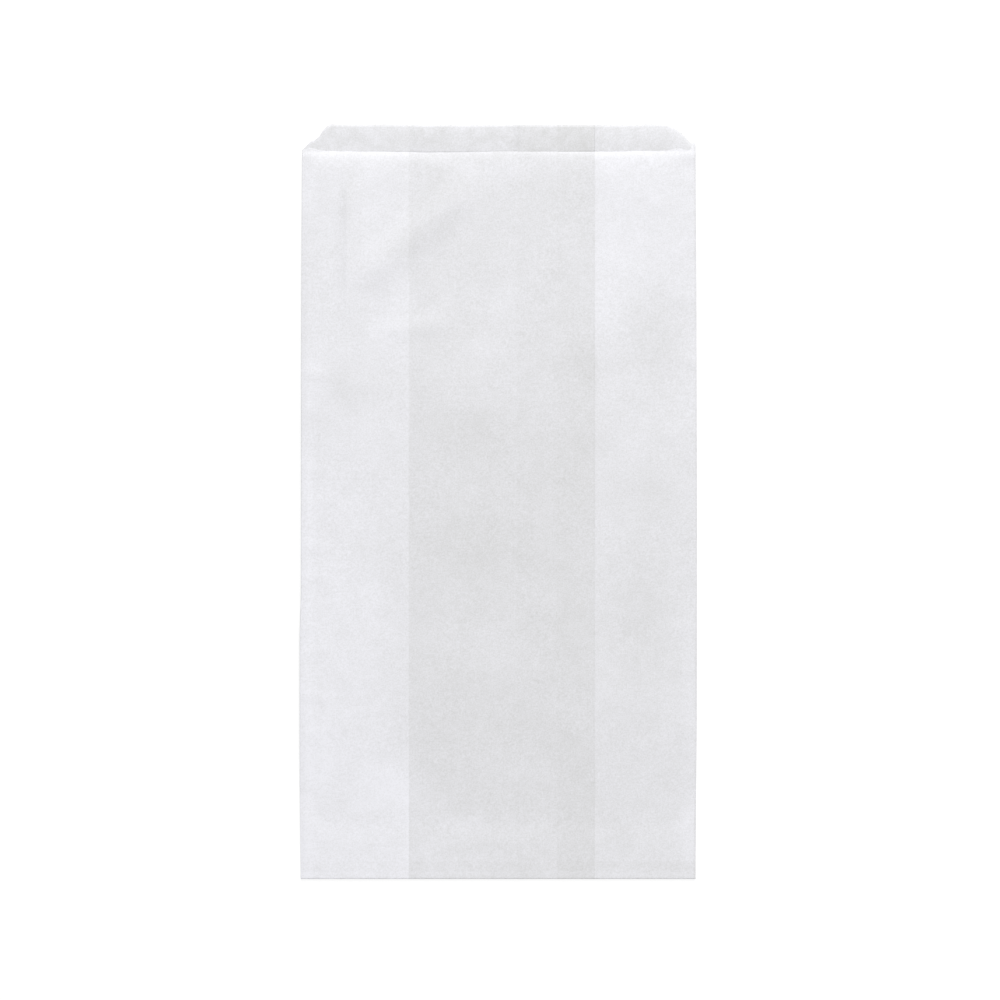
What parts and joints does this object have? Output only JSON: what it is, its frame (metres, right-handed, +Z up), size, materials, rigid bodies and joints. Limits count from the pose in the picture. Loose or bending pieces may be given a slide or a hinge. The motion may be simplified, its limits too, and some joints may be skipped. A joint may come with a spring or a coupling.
{
  "type": "flat paper bag",
  "caption": "White paper bag with pleated side gussets, pressed flat: the back panel stands past the front at the mouth, with cut-off corners, and the bottom is folded under and glued.",
  "frame": {"origin": "centre of the bag's outline, on the surface that its back lies on", "axes": "+X across the bag, +Y along it from the bottom fold to the mouth, +Z up out of the front panel"},
  "size_m": [0.127, 0.2432, 0.0016],
  "materials": {
    "paper": "bleached kraft paper, smooth and faintly glossy outside, dull inside"
  },
  "bodies": {
    "root": {"paper_bag": "paper"}
  },
  "joints": []
}
